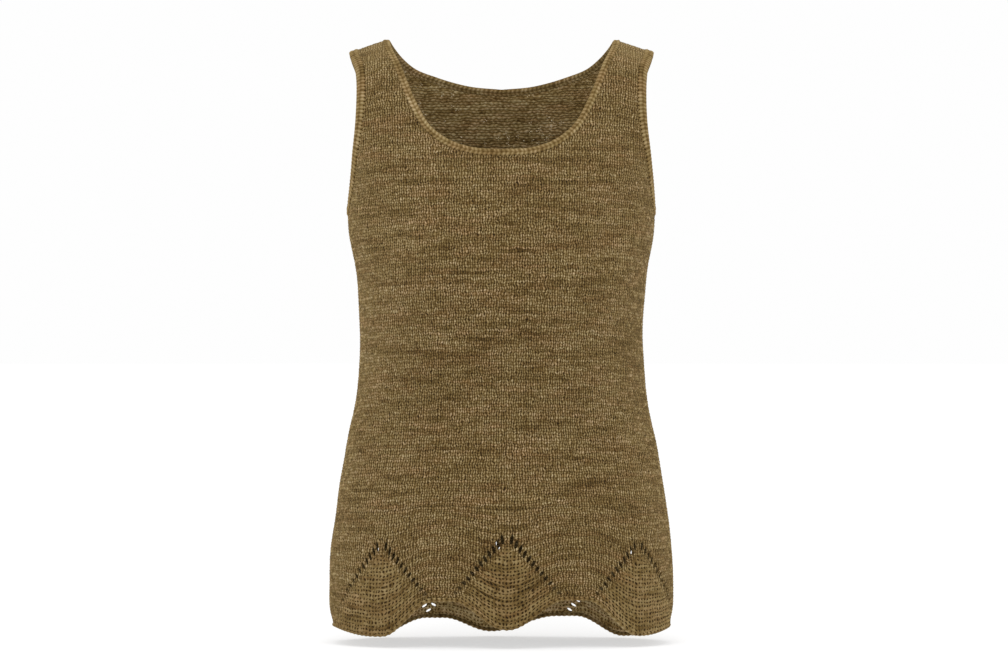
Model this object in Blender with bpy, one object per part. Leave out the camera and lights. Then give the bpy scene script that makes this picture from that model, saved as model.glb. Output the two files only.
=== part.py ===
"""A sleeveless scoop-neck knit top with a scalloped lace hem, filled out as it is when worn.

Metres, +Z up. The origin is between the high points of the shoulders, the front faces -Y and the hem
hangs towards -Z. Each knitted piece is a thin wall. A place on the cloth is given by its side, by
"across", measured along a row of knitting from the centre, and by "down", measured from the shoulder line.
"""

from collections import namedtuple
from math import cos, pi, radians, sin

import bmesh
import bpy
import numpy as np
from mathutils import Vector
from mathutils.geometry import delaunay_2d_cdt

# ---------------------------------------------------------------- driving sizes
WALL = 0.0020  # thickness of the knitted cloth
SEAM_GAP = 0.0003  # clear space between two pieces where they are sewn
SLOPE_START = 0.1298  # where the shoulder line starts to fall: the sewn edge of the neck
SHOULDER_SLOPE = 0.36  # fall of the shoulder line for each metre across
SLOPE_FADE = 0.24  # how far down the slope of the shoulder is still felt
UNDERARM_DOWN = 0.236  # where the side seam starts
UNDERARM_FLAT = 0.017  # the nearly level stretch of the armhole on each side of the seam
UNDERARM_DIP = 0.0020  # how far the armhole still falls over that stretch
NECK_BAND_WIDTH = 0.0070
ARM_BAND_WIDTH = 0.0100

FRONT = "front"
BACK = "back"
OTHER = {FRONT: BACK, BACK: FRONT}
OUTWARD = {FRONT: -1.0, BACK: 1.0}

# The figure that fills the top out: one row for each level.
Section = namedtuple("Section", "down half_width square side_y front_y back_y")
SECTIONS = (
    Section(0.000, 0.2100, 3.2, 0.010, 0.010, 0.010),
    Section(0.030, 0.2060, 3.1, 0.010, -0.018, 0.037),
    Section(0.060, 0.1980, 3.0, 0.009, -0.043, 0.059),
    Section(0.100, 0.1870, 2.8, 0.006, -0.066, 0.078),
    Section(0.150, 0.1770, 2.5, 0.002, -0.088, 0.093),
    Section(0.200, 0.1712, 2.3, -0.002, -0.106, 0.101),
    Section(0.250, 0.1676, 2.2, -0.005, -0.119, 0.105),
    Section(0.300, 0.1592, 2.2, -0.006, -0.125, 0.105),
    Section(0.350, 0.1562, 2.2, -0.005, -0.120, 0.101),
    Section(0.400, 0.1562, 2.2, -0.004, -0.109, 0.095),
    Section(0.450, 0.1620, 2.2, -0.003, -0.101, 0.093),
    Section(0.500, 0.1715, 2.2, -0.001, -0.099, 0.096),
    Section(0.550, 0.1808, 2.2, 0.000, -0.103, 0.103),
    Section(0.600, 0.1870, 2.2, 0.000, -0.108, 0.109),
    Section(0.650, 0.1888, 2.2, 0.000, -0.111, 0.111),
    Section(0.720, 0.1888, 2.2, 0.000, -0.112, 0.111),
)

# Edges of the panels, from the shoulder to the centre of the neck and to the side seam.
Edge = namedtuple("Edge", "across down")
NECK = {
    FRONT: (
        Edge(SLOPE_START, 0.000),
        Edge(0.1284, 0.020),
        Edge(0.1238, 0.042),
        Edge(0.1160, 0.068),
        Edge(0.1075, 0.094),
        Edge(0.0985, 0.118),
        Edge(0.0825, 0.147),
        Edge(0.0560, 0.168),
        Edge(0.0300, 0.1765),
        Edge(0.0000, 0.1785),
    ),
    BACK: (
        Edge(SLOPE_START, 0.000),
        Edge(0.1278, 0.012),
        Edge(0.1225, 0.028),
        Edge(0.1140, 0.044),
        Edge(0.1010, 0.0590),
        Edge(0.0745, 0.0725),
        Edge(0.0380, 0.0840),
        Edge(0.0000, 0.0880),
    ),
}
ARMHOLE = {
    FRONT: (
        Edge(0.1605, 0.000),
        Edge(0.1590, 0.020),
        Edge(0.1528, 0.055),
        Edge(0.1515, 0.090),
        Edge(0.1560, 0.130),
        Edge(0.1682, 0.168),
        Edge(0.1815, 0.198),
        Edge(0.1980, 0.222),
    ),
    BACK: (
        Edge(0.1605, 0.000),
        Edge(0.1590, 0.020),
        Edge(0.1530, 0.055),
        Edge(0.1515, 0.090),
        Edge(0.1550, 0.130),
        Edge(0.1635, 0.168),
        Edge(0.1750, 0.198),
        Edge(0.1930, 0.222),
    ),
}

# The section of a band: share of its width, from the sewn edge, and height over the outer face.
Corner = namedtuple("Corner", "share rise")
BAND_SECTION = (
    Corner(0.0, -0.0020),
    Corner(0.0, 0.0003),
    Corner(0.5, 0.0005),
    Corner(1.0, -0.0004),
    Corner(1.0, -0.0016),
    Corner(0.5, -0.0022),
)

# The scalloped hem: its tips and arches from the left side seam to the right one.
SIDE_SEAM_HEM = 0.690
ARCH_FLAT = 0.14  # share of the way from an arch to a tip that lies level
HEM = {
    FRONT: (
        Edge(-0.134, 0.7025),
        Edge(-0.064, 0.6650),
        Edge(0.006, 0.6960),
        Edge(0.081, 0.6635),
        Edge(0.156, 0.7015),
    ),
    BACK: (
        Edge(-0.148, 0.7005),
        Edge(-0.074, 0.6790),
        Edge(-0.012, 0.6940),
        Edge(0.074, 0.6770),
        Edge(0.142, 0.6995),
    ),
}

# Lace: a chevron of eyelets above each tip, over a bumpy diamond with a raised centre line.
EYELETS_A_SIDE = {FRONT: 12, BACK: 14}
CHEVRON_HEIGHT = 0.097  # from a tip up to the point of its chevron
EYELET_FIRST_ACROSS = 0.0052
EYELET_STEP_ACROSS = 0.0046
EYELET_STEP_DOWN = 0.0052
EYELET_WIDTH = 0.0032
EYELET_LONG = 0.0092  # length of the slits by the point
EYELET_SHORT = 0.0046  # length of the holes by the arches
EYELET_SHOULDER = 0.4  # share of its half length at which a slit has its full width
EYELET_LEAN = (8.0, 62.0)  # degrees from upright, at the point and by the arches
SPINE_RISE = 0.0010
SPINE_SPAN = (0.14, 0.80)  # from and to, as shares of the chevron's height above the tip
SPINE_POINTS = 7
DIAMOND_RISE = 0.0004
DIAMOND_MARGIN = 0.006  # plain cloth between the eyelets and the raised diamond

# Soft drag folds: centre, length along the fold, width across it, depth, and lean from upright.
Fold = namedtuple("Fold", "side across down length width depth lean")
FOLDS = (
    Fold(FRONT, 0.150, 0.215, 0.070, 0.026, 0.0030, 38.0),
    Fold(FRONT, -0.152, 0.220, 0.078, 0.026, 0.0034, -36.0),
    Fold(FRONT, 0.118, 0.185, 0.055, 0.024, 0.0018, 24.0),
    Fold(FRONT, -0.122, 0.180, 0.050, 0.024, 0.0020, -22.0),
    Fold(BACK, 0.155, 0.225, 0.070, 0.028, 0.0028, 34.0),
    Fold(BACK, -0.150, 0.215, 0.065, 0.028, 0.0030, -38.0),
    Fold(BACK, 0.060, 0.430, 0.030, 0.120, 0.0030, 4.0),
    Fold(BACK, -0.080, 0.395, 0.026, 0.100, 0.0024, -6.0),
)

# Mesh fineness.
GRID_STEP = 0.021
EDGE_STEP = 0.0125
HEM_STEP = 0.0095
SIDE_STEP = 0.020
SHOULDER_POINTS = 2
CLEARANCE = 0.55  # least distance between points inside a panel, in grid steps
ARC_SAMPLES = 48
PROFILE_STEP = 0.005
SLOPE_REACH = 0.002  # how far to each side the direction of the cloth is measured
TINY = 1e-7
SHARP_ANGLE = 50.0

# Finishes: colour, roughness.
YARN = (0.160, 0.107, 0.043, 1.0)
BAND_YARN = (0.180, 0.122, 0.050, 1.0)
YARN_ROUGHNESS = 0.92


# ---------------------------------------------------------------- the figure
def smooth(xs, ys, x, crest=None):
    """A curve through the points (xs, ys), with slopes taken from each point's neighbours.

    At the point with the number crest the curve falls at 45 degrees: there the cloth lies level.
    """
    xs = np.asarray(xs, float)
    ys = np.asarray(ys, float)
    slopes = np.gradient(ys, xs)
    if crest is not None:
        slopes[crest] = -1.0
    i = int(np.clip(np.searchsorted(xs, x) - 1, 0, len(xs) - 2))
    span = xs[i + 1] - xs[i]
    t = (x - xs[i]) / span
    start = (1 + 2 * t) * (1 - t) ** 2 * ys[i] + t * (1 - t) ** 2 * span * slopes[i]
    end = t * t * (3 - 2 * t) * ys[i + 1] + t * t * (t - 1) * span * slopes[i + 1]
    return start + end


DOWNS = [row.down for row in SECTIONS]
SIGNED_DOWNS = [-d for d in reversed(DOWNS[1:])] + DOWNS
SIGNED_YS = [row.back_y for row in reversed(SECTIONS[1:])] + [row.front_y for row in SECTIONS]


def centre_line(side):
    """(downs, ys, zs) down the centre of one side. The cloth keeps its length, which gives the zs."""
    sign = 1.0 if side == FRONT else -1.0
    downs = np.arange(0.0, DOWNS[-1] + PROFILE_STEP, PROFILE_STEP)
    crest = SIGNED_DOWNS.index(0.0)
    ys = np.array([smooth(SIGNED_DOWNS, SIGNED_YS, sign * d, crest) for d in downs])
    falls = np.sqrt(np.maximum(PROFILE_STEP**2 - np.diff(ys) ** 2, 0.0))
    return downs, ys, -np.concatenate([[0.0], np.cumsum(falls)])


CENTRE_LINES = {side: centre_line(side) for side in (FRONT, BACK)}


def half_section(side, down):
    """Points round the figure at one row, from the centre to the side, and the cloth length to each."""
    half = smooth(DOWNS, [row.half_width for row in SECTIONS], down)
    square = smooth(DOWNS, [row.square for row in SECTIONS], down)
    side_y = smooth(DOWNS, [row.side_y for row in SECTIONS], down)
    downs, ys, zs = CENTRE_LINES[side]
    centre_y = np.interp(down, downs, ys)
    centre_z = np.interp(down, downs, zs)
    other_z = np.interp(down, downs, CENTRE_LINES[OTHER[side]][2])
    side_z = (centre_z + other_z) / 2
    turn = np.linspace(0.0, pi / 2, ARC_SAMPLES)
    reach = (np.sin(turn) ** square + np.cos(turn) ** square) ** (-1 / square)
    towards_side = np.sin(turn) * reach
    towards_centre = np.cos(turn) * reach
    x = half * towards_side
    fade = max(0.0, 1 - (down / SLOPE_FADE) ** 2) ** 2
    slope_fall = SHOULDER_SLOPE * np.maximum(x - SLOPE_START, 0.0) * fade
    y = side_y + (centre_y - side_y) * towards_centre
    z = side_z + (centre_z - side_z) * towards_centre - slope_fall
    points = np.stack([x, y, z], axis=1)
    steps = np.linalg.norm(np.diff(points, axis=0), axis=1)
    return points, np.concatenate([[0.0], np.cumsum(steps)])


def half_length(side, down):
    """Cloth length from the centre to the side at one row."""
    return float(half_section(side, down)[1][-1])


def figure(side, across, down):
    """The point of the figure at a place on the cloth. A place past an edge of its side is on the other."""
    if down < 0:
        return figure(OTHER[side], across, -down)
    points, lengths = half_section(side, down)
    if abs(across) > lengths[-1]:
        rest = half_length(OTHER[side], down) + lengths[-1] - abs(across)
        return figure(OTHER[side], np.copysign(rest, across), down)
    x, y, z = (np.interp(abs(across), lengths, points[:, i]) for i in range(3))
    return Vector((float(np.copysign(x, across)), float(y), float(z)))


def normal(side, across, down):
    """The direction out of the cloth."""
    along = figure(side, across + SLOPE_REACH, down) - figure(side, across - SLOPE_REACH, down)
    below = figure(side, across, down + SLOPE_REACH) - figure(side, across, down - SLOPE_REACH)
    return (along.cross(below) * OUTWARD[side]).normalized()


def fold_depth(side, across, down):
    total = 0.0
    for fold in FOLDS:
        if fold.side != side:
            continue
        lean = radians(fold.lean)
        right = across - fold.across
        below = down - fold.down
        off = right * cos(lean) + below * sin(lean)
        along = below * cos(lean) - right * sin(lean)
        total += fold.depth * np.exp(-((off / fold.width) ** 2) - (along / fold.length) ** 2)
    return float(total)


def cloth(side, across, down, rise=0.0):
    """A point of the outer face of the cloth, moved out by rise."""
    out = normal(side, across, down)
    return figure(side, across, down) + out * (rise - fold_depth(side, across, down))


# ---------------------------------------------------------------- the cut
def curve_through(rows, step):
    """Places along a smooth curve through the rows, about step apart, with both ends."""
    points = np.array([(row.across, row.down) for row in rows])
    lengths = np.concatenate([[0.0], np.cumsum(np.linalg.norm(np.diff(points, axis=0), axis=1))])
    count = max(2, round(lengths[-1] / step) + 1)
    stops = np.linspace(0.0, lengths[-1], count)
    return [Edge(*(smooth(lengths, points[:, i], s) for i in range(2))) for s in stops]


def neck_line(side):
    """The sewn edge of the neck, from the right shoulder to the centre and on to the left one."""
    right = curve_through(NECK[side], EDGE_STEP)
    return right + [Edge(-place.across, place.down) for place in reversed(right[:-1])]


def armhole_line(side):
    """The sewn edge of the right armhole, from the shoulder to the side seam."""
    end = Edge(half_length(side, UNDERARM_DOWN), UNDERARM_DOWN)
    before = Edge(end.across - UNDERARM_FLAT, UNDERARM_DOWN - UNDERARM_DIP)
    return curve_through(ARMHOLE[side] + (before, end), EDGE_STEP)


def hem_down(side, across):
    """How far down the hem lies. It is round at a tip and flatter at an arch."""
    seam = half_length(side, SIDE_SEAM_HEM)
    rows = (Edge(-seam, SIDE_SEAM_HEM),) + HEM[side] + (Edge(seam, SIDE_SEAM_HEM),)
    for left, right in zip(rows, rows[1:]):
        if across <= right.across or right is rows[-1]:
            break
    share = min(1.0, max(0.0, (across - left.across) / (right.across - left.across)))
    if left.down > right.down:
        share = min(1.0, share / (1 - ARCH_FLAT))
    else:
        share = max(0.0, (share - ARCH_FLAT) / (1 - ARCH_FLAT))
    return left.down + (right.down - left.down) * (1 - cos(pi * share)) / 2


def hem_line(side):
    """The hem from the left side seam to the right one."""
    seam = half_length(side, SIDE_SEAM_HEM)
    count = round(2 * seam / HEM_STEP) + 1
    return [Edge(x, hem_down(side, x)) for x in np.linspace(-seam, seam, count)]


def side_line(side):
    """The right side seam, from just above the hem to just below the underarm."""
    count = round((SIDE_SEAM_HEM - UNDERARM_DOWN) / SIDE_STEP)
    downs = np.linspace(SIDE_SEAM_HEM, UNDERARM_DOWN, count + 1)[1:-1]
    return [Edge(half_length(side, d), d) for d in downs]


def shoulder_line(side):
    """The right shoulder seam between the armhole and the neck, without its ends."""
    stops = np.linspace(ARMHOLE[side][0].across, NECK[side][0].across, SHOULDER_POINTS + 2)
    return [Edge(x, 0.0) for x in stops[1:-1]]


def outline(side):
    """The whole edge of a panel, drawn in by half of the seam gap."""
    right = side_line(side) + list(reversed(armhole_line(side))) + shoulder_line(side)
    left = [Edge(-place.across, place.down) for place in reversed(right)]
    places = hem_line(side) + right + neck_line(side) + left
    points = np.array(places)
    ahead = np.roll(points, -1, axis=0) - points
    behind = points - np.roll(points, 1, axis=0)
    turned = [a / np.linalg.norm(a) + b / np.linalg.norm(b) for a, b in zip(ahead, behind)]
    inward = np.array([(t[1], -t[0]) / np.linalg.norm(t) for t in turned])
    return points + inward * SEAM_GAP / 2


def eyelets(side):
    """The six corners of each eyelet of a panel's chevrons."""
    holes = []
    for tip in HEM[side][::2]:
        point_down = tip.down - CHEVRON_HEIGHT
        for hand in (-1, 1):
            for k in range(EYELETS_A_SIDE[side]):
                share = k / (EYELETS_A_SIDE[side] - 1)
                across = tip.across + hand * (EYELET_FIRST_ACROSS + EYELET_STEP_ACROSS * k)
                down = point_down + EYELET_STEP_DOWN * k
                lean = hand * radians(EYELET_LEAN[0] + (EYELET_LEAN[1] - EYELET_LEAN[0]) * share)
                length = EYELET_LONG + (EYELET_SHORT - EYELET_LONG) * share
                up = np.array([sin(lean), -cos(lean)]) * length / 2
                wide = np.array([cos(lean), sin(lean)]) * EYELET_WIDTH / 2
                part = up * EYELET_SHOULDER
                middle = np.array([across, down])
                corners = (up, part + wide, wide - part, -up, -part - wide, part - wide)
                holes.append([middle + corner for corner in corners])
    return holes


def spine(side):
    """Places up the raised centre line of each diamond."""
    shares = np.linspace(*SPINE_SPAN, SPINE_POINTS)
    return [(tip.across, tip.down - CHEVRON_HEIGHT * s) for tip in HEM[side][::2] for s in shares]


def rise_of(side, across, down):
    """How far the outer face is raised there: the diamonds and their centre lines."""
    for tip in HEM[side][::2]:
        above_tip = tip.down - down
        off = abs(across - tip.across)
        share = above_tip / CHEVRON_HEIGHT
        reach = (CHEVRON_HEIGHT - above_tip) * EYELET_STEP_ACROSS / EYELET_STEP_DOWN
        if off < TINY and SPINE_SPAN[0] - TINY < share < SPINE_SPAN[1] + TINY:
            return SPINE_RISE
        if off < reach - DIAMOND_MARGIN and above_tip > DIAMOND_MARGIN:
            return DIAMOND_RISE
    return 0.0


def contains(polygon, point):
    """Whether the polygon holds the point, by counting its edges to the right of it."""
    x, y = point
    ends = np.roll(polygon, -1, axis=0)
    spans = (polygon[:, 1] > y) != (ends[:, 1] > y)
    rises = np.where(spans, ends[:, 1] - polygon[:, 1], 1.0)
    cuts = polygon[:, 0] + (y - polygon[:, 1]) / rises * (ends[:, 0] - polygon[:, 0])
    return bool(np.count_nonzero(spans & (cuts > x)) % 2)


def inner_places(edge, taken):
    """A staggered grid of places inside the edge that keeps clear of the places already taken."""
    low = edge.min(axis=0)
    high = edge.max(axis=0)
    row_step = GRID_STEP * sin(pi / 3)
    places = []
    for j, down in enumerate(np.arange(low[1] + row_step / 2, high[1], row_step)):
        shift = GRID_STEP / 2 * (j % 2)
        columns = int((high[0] - low[0]) / GRID_STEP / 2) + 1
        for i in range(-columns, columns + 1):
            place = np.array([i * GRID_STEP + shift, down])
            clear = np.min(np.linalg.norm(taken - place, axis=1)) > CLEARANCE * GRID_STEP
            if clear and contains(edge, place):
                places.append(place)
    return places


# ---------------------------------------------------------------- the pieces
def finish(name, colour):
    material = bpy.data.materials.new(name)
    material.use_nodes = True
    shader = material.node_tree.nodes["Principled BSDF"]
    shader.inputs["Base Color"].default_value = colour
    shader.inputs["Roughness"].default_value = YARN_ROUGHNESS
    shader.inputs["Metallic"].default_value = 0.0
    return material


def add_piece(name, bm, colour, collection):
    """Turns a bmesh into an object of its own with its own finish."""
    mesh = bpy.data.meshes.new(name)
    bm.to_mesh(mesh)
    bm.free()
    mesh.materials.append(finish(name + "_yarn", colour))
    mesh.shade_smooth()
    mesh.set_sharp_from_angle(angle=radians(SHARP_ANGLE))
    piece = bpy.data.objects.new(name, mesh)
    collection.objects.link(piece)
    return piece


def panel(name, side, collection):
    """A knitted panel: its flat cut is meshed, laid on the figure and given its thickness."""
    edge = outline(side)
    holes = eyelets(side)
    places = [tuple(p) for p in edge]
    edges = [(i, (i + 1) % len(edge)) for i in range(len(edge))]
    for hole in holes:
        start = len(places)
        places += [tuple(p) for p in hole]
        edges += [(start + i, start + (i + 1) % len(hole)) for i in range(len(hole))]
    places += spine(side)
    places += [tuple(p) for p in inner_places(edge, np.array(places))]
    flat, _, triangles, _, _, _ = delaunay_2d_cdt([Vector(p) for p in places], edges, [], 0, TINY)
    polygons = [np.array(hole) for hole in holes]
    bm = bmesh.new()
    outward = bm.verts.layers.float_vector.new("outward")
    for place in flat:
        out = normal(side, place.x, place.y)
        vert = bm.verts.new(cloth(side, place.x, place.y, -WALL))
        vert[outward] = out * (WALL + rise_of(side, place.x, place.y))
    bm.verts.ensure_lookup_table()
    for corners in triangles:
        middle = sum((np.array(flat[i]) for i in corners), np.zeros(2)) / 3
        if not contains(edge, middle) or any(contains(hole, middle) for hole in polygons):
            continue
        order = corners if side == BACK else list(reversed(corners))
        bm.faces.new([bm.verts[i] for i in order])
    raised = bmesh.ops.extrude_face_region(bm, geom=bm.faces[:])
    for vert in raised["geom"]:
        if isinstance(vert, bmesh.types.BMVert):
            vert.co += vert[outward]
    return add_piece(name, bm, YARN, collection)


def band(name, stations, width, collection):
    """A narrow band round an opening. Each station is a side, a place and the way into the opening."""
    bm = bmesh.new()
    rings = []
    for side, place, way in stations:
        ring = []
        for corner in BAND_SECTION:
            reach = SEAM_GAP / 2 + (width - SEAM_GAP / 2) * corner.share
            across = place[0] + way[0] * reach
            down = place[1] + way[1] * reach
            ring.append(bm.verts.new(cloth(side, across, down, corner.rise)))
        rings.append(ring)
    for ring, after in zip(rings, rings[1:] + rings[:1]):
        for i in range(len(ring)):
            j = (i + 1) % len(ring)
            bm.faces.new((ring[i], ring[j], after[j], after[i]))
    bmesh.ops.recalc_face_normals(bm, faces=bm.faces)
    bmesh.ops.triangulate(bm, faces=bm.faces)
    return add_piece(name, bm, BAND_YARN, collection)


def stations_along(side, places, hand):
    """The stations of a band down one sewn edge. hand is 1 where the opening is on the right of the way."""
    points = np.array([tuple(p) for p in places])
    ways = np.gradient(points, axis=0)
    ways[0] = ways[0] * (0, 1) if abs(points[0][1]) < TINY else ways[0]
    ways[-1] = ways[-1] * (0, 1) if abs(points[-1][1]) < TINY else ways[-1] * (1, 0)
    ways = ways / np.linalg.norm(ways, axis=1)[:, None]
    return [(side, p, np.array([w[1], -w[0]]) * hand) for p, w in zip(points, ways)]


def neck_band(collection):
    front = stations_along(FRONT, neck_line(FRONT), -1)
    back = stations_along(BACK, neck_line(BACK), -1)
    return band("neck_band", front + list(reversed(back))[1:-1], NECK_BAND_WIDTH, collection)


def armhole_band(name, hand, collection):
    front = stations_along(FRONT, armhole_line(FRONT), 1)
    back = stations_along(BACK, armhole_line(BACK), 1)
    loop = front + list(reversed(back))[1:-1]
    placed = [(side, p * (hand, 1), way * (hand, 1)) for side, p, way in loop]
    return band(name, placed, ARM_BAND_WIDTH, collection)


def build():
    for old in list(bpy.data.objects):
        bpy.data.objects.remove(old, do_unlink=True)
    collection = bpy.data.collections.new("knit_top")
    bpy.context.scene.collection.children.link(collection)
    panel("front_panel", FRONT, collection)
    panel("back_panel", BACK, collection)
    neck_band(collection)
    armhole_band("armhole_band_right", 1, collection)
    armhole_band("armhole_band_left", -1, collection)


build()
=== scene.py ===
from math import cos, pi, radians, sin

import bmesh
import bpy
import numpy as np
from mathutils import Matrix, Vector


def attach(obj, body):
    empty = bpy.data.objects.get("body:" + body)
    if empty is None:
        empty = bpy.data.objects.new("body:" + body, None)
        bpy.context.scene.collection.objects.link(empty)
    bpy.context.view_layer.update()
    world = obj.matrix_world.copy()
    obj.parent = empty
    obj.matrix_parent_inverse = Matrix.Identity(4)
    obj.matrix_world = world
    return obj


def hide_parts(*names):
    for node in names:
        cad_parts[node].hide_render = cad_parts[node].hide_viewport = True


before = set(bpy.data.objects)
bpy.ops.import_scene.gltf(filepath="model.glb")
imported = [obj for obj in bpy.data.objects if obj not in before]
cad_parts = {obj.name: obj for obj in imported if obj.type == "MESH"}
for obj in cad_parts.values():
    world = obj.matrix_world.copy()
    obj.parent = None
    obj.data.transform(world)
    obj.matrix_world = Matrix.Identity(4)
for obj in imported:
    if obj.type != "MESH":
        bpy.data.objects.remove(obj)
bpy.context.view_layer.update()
print("frame loaded")

# The camera stands where the photograph was taken from: level, straight in front, far off.
photoView = {
    "place": (0.00275, -5.0, -0.3256),
    "lens": 162.35,  # mm, as is the sensor
    "sensor": 36.0,
    "sightEnd": 60.0,
}


def placed(name, data):
    made = bpy.data.objects.new(name, data)
    bpy.context.scene.collection.objects.link(made)
    return made


def makeCamera():
    data = bpy.data.cameras.new("photoCamera")
    data.lens = photoView["lens"]
    data.sensor_width = photoView["sensor"]
    data.clip_end = photoView["sightEnd"]
    camera = placed("photoCamera", data)
    camera.location = photoView["place"]
    camera.rotation_euler = (radians(90), 0, 0)
    bpy.context.scene.camera = camera


makeCamera()

# the filled-out form that the cloth lies on
front, back = "front", "back"
otherSide = {front: back, back: front}
outward = {front: -1.0, back: 1.0}
hand = {front: 1.0, back: -1.0}  # which way across grows, seen from outside

form = {
    "slopeStart": 0.1298,  # how far across the shoulder starts to fall
    "shoulderSlope": 0.36,
    "slopeFade": 0.24,  # how far down that slope is felt
    "underarmDown": 0.236,
    "profileStep": 0.005,
    "turnSamples": 240,
    "downRange": (-0.02, 0.72, 0.002),  # from, to, step of the table of places
    "acrossRange": (-0.27, 0.27, 0.0015),
}

# down, half width, squareness, side y, front y, back y
sections = np.array([
    (0.000, 0.2100, 3.2, 0.010, 0.010, 0.010),
    (0.030, 0.2060, 3.1, 0.010, -0.018, 0.037),
    (0.060, 0.1980, 3.0, 0.009, -0.043, 0.059),
    (0.100, 0.1870, 2.8, 0.006, -0.066, 0.078),
    (0.150, 0.1770, 2.5, 0.002, -0.088, 0.093),
    (0.200, 0.1712, 2.3, -0.002, -0.106, 0.101),
    (0.250, 0.1676, 2.2, -0.005, -0.119, 0.105),
    (0.300, 0.1592, 2.2, -0.006, -0.125, 0.105),
    (0.350, 0.1562, 2.2, -0.005, -0.120, 0.101),
    (0.400, 0.1562, 2.2, -0.004, -0.109, 0.095),
    (0.450, 0.1620, 2.2, -0.003, -0.101, 0.093),
    (0.500, 0.1715, 2.2, -0.001, -0.099, 0.096),
    (0.550, 0.1808, 2.2, 0.000, -0.103, 0.103),
    (0.600, 0.1870, 2.2, 0.000, -0.108, 0.109),
    (0.650, 0.1888, 2.2, 0.000, -0.111, 0.111),
    (0.720, 0.1888, 2.2, 0.000, -0.112, 0.111),
])


def running(steps):
    return np.concatenate([[0.0], np.cumsum(steps)])


def unit(vectors):
    return vectors / np.linalg.norm(vectors, axis=-1, keepdims=True)


def smoothCurve(xs, ys, x, crest=None):
    # a curve through the points; at the crest it falls at 45 degrees
    xs, ys, x = (np.asarray(a, float) for a in (xs, ys, x))
    slopes = np.gradient(ys, xs)
    if crest is not None:
        slopes[crest] = -1.0
    i = np.clip(np.searchsorted(xs, x) - 1, 0, len(xs) - 2)
    span = xs[i + 1] - xs[i]
    t = (x - xs[i]) / span
    start = (1 + 2 * t) * (1 - t) ** 2 * ys[i] + t * (1 - t) ** 2 * span * slopes[i]
    end = t * t * (3 - 2 * t) * ys[i + 1] + t * t * (t - 1) * span * slopes[i + 1]
    return start + end


def centreLine(side):
    # down the middle of one side: the cloth keeps its length there
    rows = sections[:, 0]
    signedDowns = np.concatenate([-rows[:0:-1], rows])
    signedYs = np.concatenate([sections[:0:-1, 5], sections[:, 4]])
    downs = np.arange(0.0, rows[-1] + form["profileStep"], form["profileStep"])
    sign = 1.0 if side == front else -1.0
    ys = smoothCurve(signedDowns, signedYs, sign * downs, crest=len(rows) - 1)
    falls = np.sqrt(np.maximum(form["profileStep"] ** 2 - np.diff(ys) ** 2, 0.0))
    return downs, ys, -running(falls)


centreLines = {side: centreLine(side) for side in (front, back)}


def halfSection(side, down):
    # places round the form at one level, from the centre to the side, and the cloth length to each
    half, square, sideY = (smoothCurve(sections[:, 0], sections[:, i], down) for i in (1, 2, 3))
    downs, ys, zs = centreLines[side]
    centreY, centreZ = np.interp(down, downs, ys), np.interp(down, downs, zs)
    sideZ = (centreZ + np.interp(down, downs, centreLines[otherSide[side]][2])) / 2
    turn = np.linspace(0.0, pi / 2, form["turnSamples"])
    reach = (np.sin(turn) ** square + np.cos(turn) ** square) ** (-1 / square)
    x = half * np.sin(turn) * reach
    inward = np.cos(turn) * reach
    fade = max(0.0, 1 - (down / form["slopeFade"]) ** 2) ** 2
    fall = form["shoulderSlope"] * np.maximum(x - form["slopeStart"], 0.0) * fade
    y = sideY + (centreY - sideY) * inward
    z = sideZ + (centreZ - sideZ) * inward - fall
    places = np.stack([x, y, z], axis=1)
    return places, running(np.linalg.norm(np.diff(places, axis=0), axis=1))


def formRow(side, down, across):
    # past its edge a side runs on into the other one, also over the shoulder
    if down < 0:
        side, down = otherSide[side], -down
    near, nearLengths = halfSection(side, down)
    far, farLengths = halfSection(otherSide[side], down)
    lengths = np.concatenate([nearLengths, nearLengths[-1] + farLengths[-1] - farLengths[-2::-1]])
    places = np.concatenate([near, far[-2::-1]])
    x, y, z = (np.interp(np.abs(across), lengths, places[:, i]) for i in range(3))
    return np.stack([np.copysign(x, across), y, z], axis=1)


def formTable(side):
    ranges = (form["downRange"], form["acrossRange"])
    downs, acrosses = (np.arange(low, high + step / 1000, step) for low, high, step in ranges)
    places = np.array([formRow(side, down, acrosses) for down in downs])
    outs = np.cross(np.gradient(places, axis=1), np.gradient(places, axis=0)) * outward[side]
    levels = np.maximum(downs, 0.0)
    return {
        "places": places,
        "outs": unit(outs),
        "downs": levels,
        "lengths": np.array([halfSection(side, d)[1][-1] for d in levels]),
    }


formTables = {side: formTable(side) for side in (front, back)}
print("form measured")


def halfLength(side, down):
    table = formTables[side]
    return np.interp(down, table["downs"], table["lengths"])


def onForm(side, across, down):
    table = formTables[side]
    places = table["places"]
    col = (across - form["acrossRange"][0]) / form["acrossRange"][2]
    row = (down - form["downRange"][0]) / form["downRange"][2]
    c = np.clip(col.astype(int), 0, places.shape[1] - 2)
    r = np.clip(row.astype(int), 0, places.shape[0] - 2)
    right, below = (col - c)[:, None], (row - r)[:, None]

    def between(grid):
        upper = grid[r, c] * (1 - right) + grid[r, c + 1] * right
        lower = grid[r + 1, c] * (1 - right) + grid[r + 1, c + 1] * right
        return upper * (1 - below) + lower * below

    return between(places), unit(between(table["outs"]))


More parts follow.
